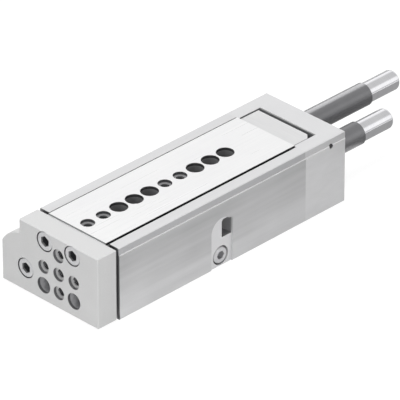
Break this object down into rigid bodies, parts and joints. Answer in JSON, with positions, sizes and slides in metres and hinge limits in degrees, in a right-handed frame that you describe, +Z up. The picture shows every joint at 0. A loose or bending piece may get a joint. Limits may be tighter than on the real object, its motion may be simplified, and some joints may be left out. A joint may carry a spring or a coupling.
{
  "type": "pneumatic slide table",
  "caption": "Compact guided pneumatic slide: flush slide on ball cages in a U-shaped housing, yoke plate, side cylinder and rear shock absorbers in stop sleeves.",
  "frame": {"origin": "on the mounting face, below the slide's centre line and at mid-length of the housing", "axes": "+X the way the slide advances, +Z up out of the mounting face, +Y towards the plain flank away from the cylinder"},
  "size_m": [0.2379, 0.0646, 0.0388],
  "materials": {
    "housing_aluminium": "clear anodised extrusion, fine lengthwise drawing lines",
    "cover_aluminium": "clear anodised, milled",
    "yoke_aluminium": "clear anodised, milled and fine blasted",
    "slide_steel": "hardened and ground, bright",
    "plate_steel": "ground, matt nickel plated",
    "stop_steel": "hardened, plain",
    "black_steel": "black oxide",
    "screw_steel": "zinc plated",
    "dowel_steel": "ground",
    "rail_steel": "hardened and ground",
    "ball_steel": "polished bearing steel",
    "cage_brass": "stamped",
    "gland_aluminium": "turned",
    "bush_bronze": "sintered bronze",
    "seal_rubber": "moulded",
    "spring_steel": "oiled spring steel",
    "sleeve_steel": "dark phosphated, turned",
    "absorber_chrome": "bright nickel plated",
    "plunger_steel": "hardened and ground",
    "rod_chrome": "hard chrome plated",
    "piston_aluminium": "turned",
    "magnet_plastic": "plastic-bonded ferrite",
    "wear_plastic": "filled guide ring"
  },
  "bodies": {
    "base": {"housing": "housing_aluminium", "rear_cover": "cover_aluminium", "cover_screws": "black_steel", "cover_dowels": "dowel_steel", "guide_rail_left": "rail_steel", "guide_rail_right": "rail_steel", "preload_screws": "black_steel", "rod_gland": "gland_aluminium", "rod_bush": "bush_bronze", "rod_seal": "seal_rubber", "rod_wiper": "seal_rubber", "gland_o_ring": "seal_rubber", "gland_retaining_ring": "spring_steel", "fixed_stop": "stop_steel", "fixed_stop_screw": "screw_steel", "retract_stop_sleeve": "sleeve_steel", "retract_absorber_tube": "absorber_chrome", "retract_lock_screw": "black_steel", "retract_spring": "spring_steel"},
    "carriage": {"slide": "slide_steel", "yoke_plate": "yoke_aluminium", "yoke_screws": "screw_steel", "yoke_dowels": "dowel_steel", "rod_screw": "screw_steel", "piston_rod": "rod_chrome", "piston": "piston_aluminium", "piston_seals": "seal_rubber", "piston_magnet": "magnet_plastic", "piston_wear_ring": "wear_plastic", "piston_bumpers": "seal_rubber", "piston_nut": "screw_steel", "stop_plate": "plate_steel", "stop_plate_screws": "black_steel", "stop_plate_dowels": "dowel_steel", "advance_stop_sleeve": "sleeve_steel", "advance_absorber_tube": "absorber_chrome", "advance_lock_screw": "black_steel", "advance_spring": "spring_steel"},
    "left_cage": {"ball_cage_left": "cage_brass", "balls_left": "ball_steel"},
    "right_cage": {"ball_cage_right": "cage_brass", "balls_right": "ball_steel"},
    "retract_plunger_body": {"retract_plunger": "plunger_steel"},
    "advance_plunger_body": {"advance_plunger": "plunger_steel"}
  },
  "joints": [
    {"name": "slide_travel", "type": "slide", "parent": "base", "child": "carriage", "axis": [1, 0, 0], "range_m": [0, 0.04]},
    {"name": "left_cage_travel", "type": "slide", "parent": "base", "child": "left_cage", "axis": [1, 0, 0], "range_m": [0, 0.02]},
    {"name": "right_cage_travel", "type": "slide", "parent": "base", "child": "right_cage", "axis": [1, 0, 0], "range_m": [0, 0.02]},
    {"name": "retract_plunger_travel", "type": "slide", "parent": "base", "child": "retract_plunger_body", "axis": [1, 0, 0], "range_m": [0, 0.008], "deforming": ["retract_spring"]},
    {"name": "advance_plunger_travel", "type": "slide", "parent": "carriage", "child": "advance_plunger_body", "axis": [-1, 0, 0], "range_m": [0, 0.008], "deforming": ["advance_spring"]}
  ],
  "couplings": [
    {"joint": "left_cage_travel", "follows": "slide_travel", "ratio": 0.5},
    {"joint": "right_cage_travel", "follows": "slide_travel", "ratio": 0.5},
    {"joint": "retract_plunger_travel", "follows": "slide_travel", "ratio": 0.2},
    {"joint": "advance_plunger_travel", "follows": "slide_travel", "ratio": 0.2}
  ]
}
